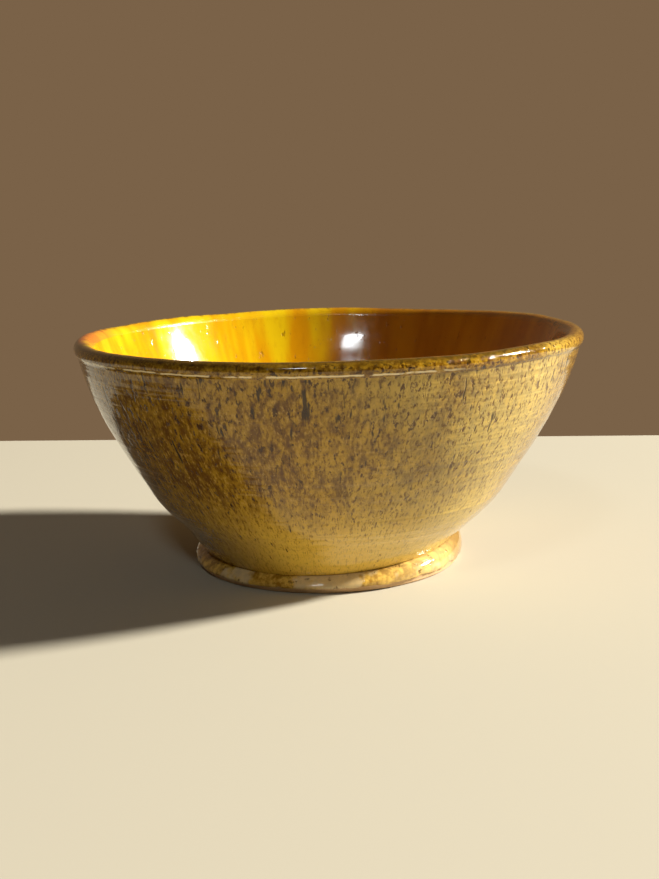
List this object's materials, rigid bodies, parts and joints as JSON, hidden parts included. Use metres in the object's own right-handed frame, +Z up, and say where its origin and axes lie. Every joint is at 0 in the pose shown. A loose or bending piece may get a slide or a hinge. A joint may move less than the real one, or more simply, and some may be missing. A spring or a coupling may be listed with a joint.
{
  "type": "matcha bowl",
  "caption": "Wide footed tea bowl in amber-glazed stoneware, with a flared wall, a rounded bead at the lip and a low foot ring.",
  "frame": {"origin": "centre of the foot ring, on the surface the bowl stands on", "axes": "+Z up along the bowl's turning axis; X and Y are level and alike, because the bowl is round"},
  "size_m": [0.131, 0.131, 0.061],
  "materials": {
    "bare_stoneware": "matt fired clay, bare under the foot",
    "ochre_glaze": "glossy mottled ochre glaze with brown specks",
    "amber_glaze": "glossy amber glaze, deeper where it pools",
    "lip_glaze": "glossy glaze breaking dark olive brown over the lip"
  },
  "bodies": {
    "root": {"thrown_cup": "bare_stoneware", "foot_ring": "bare_stoneware", "outside_glaze": "ochre_glaze", "inside_glaze": "amber_glaze", "lip_glaze": "lip_glaze", "foot_glaze": "ochre_glaze"}
  },
  "joints": []
}
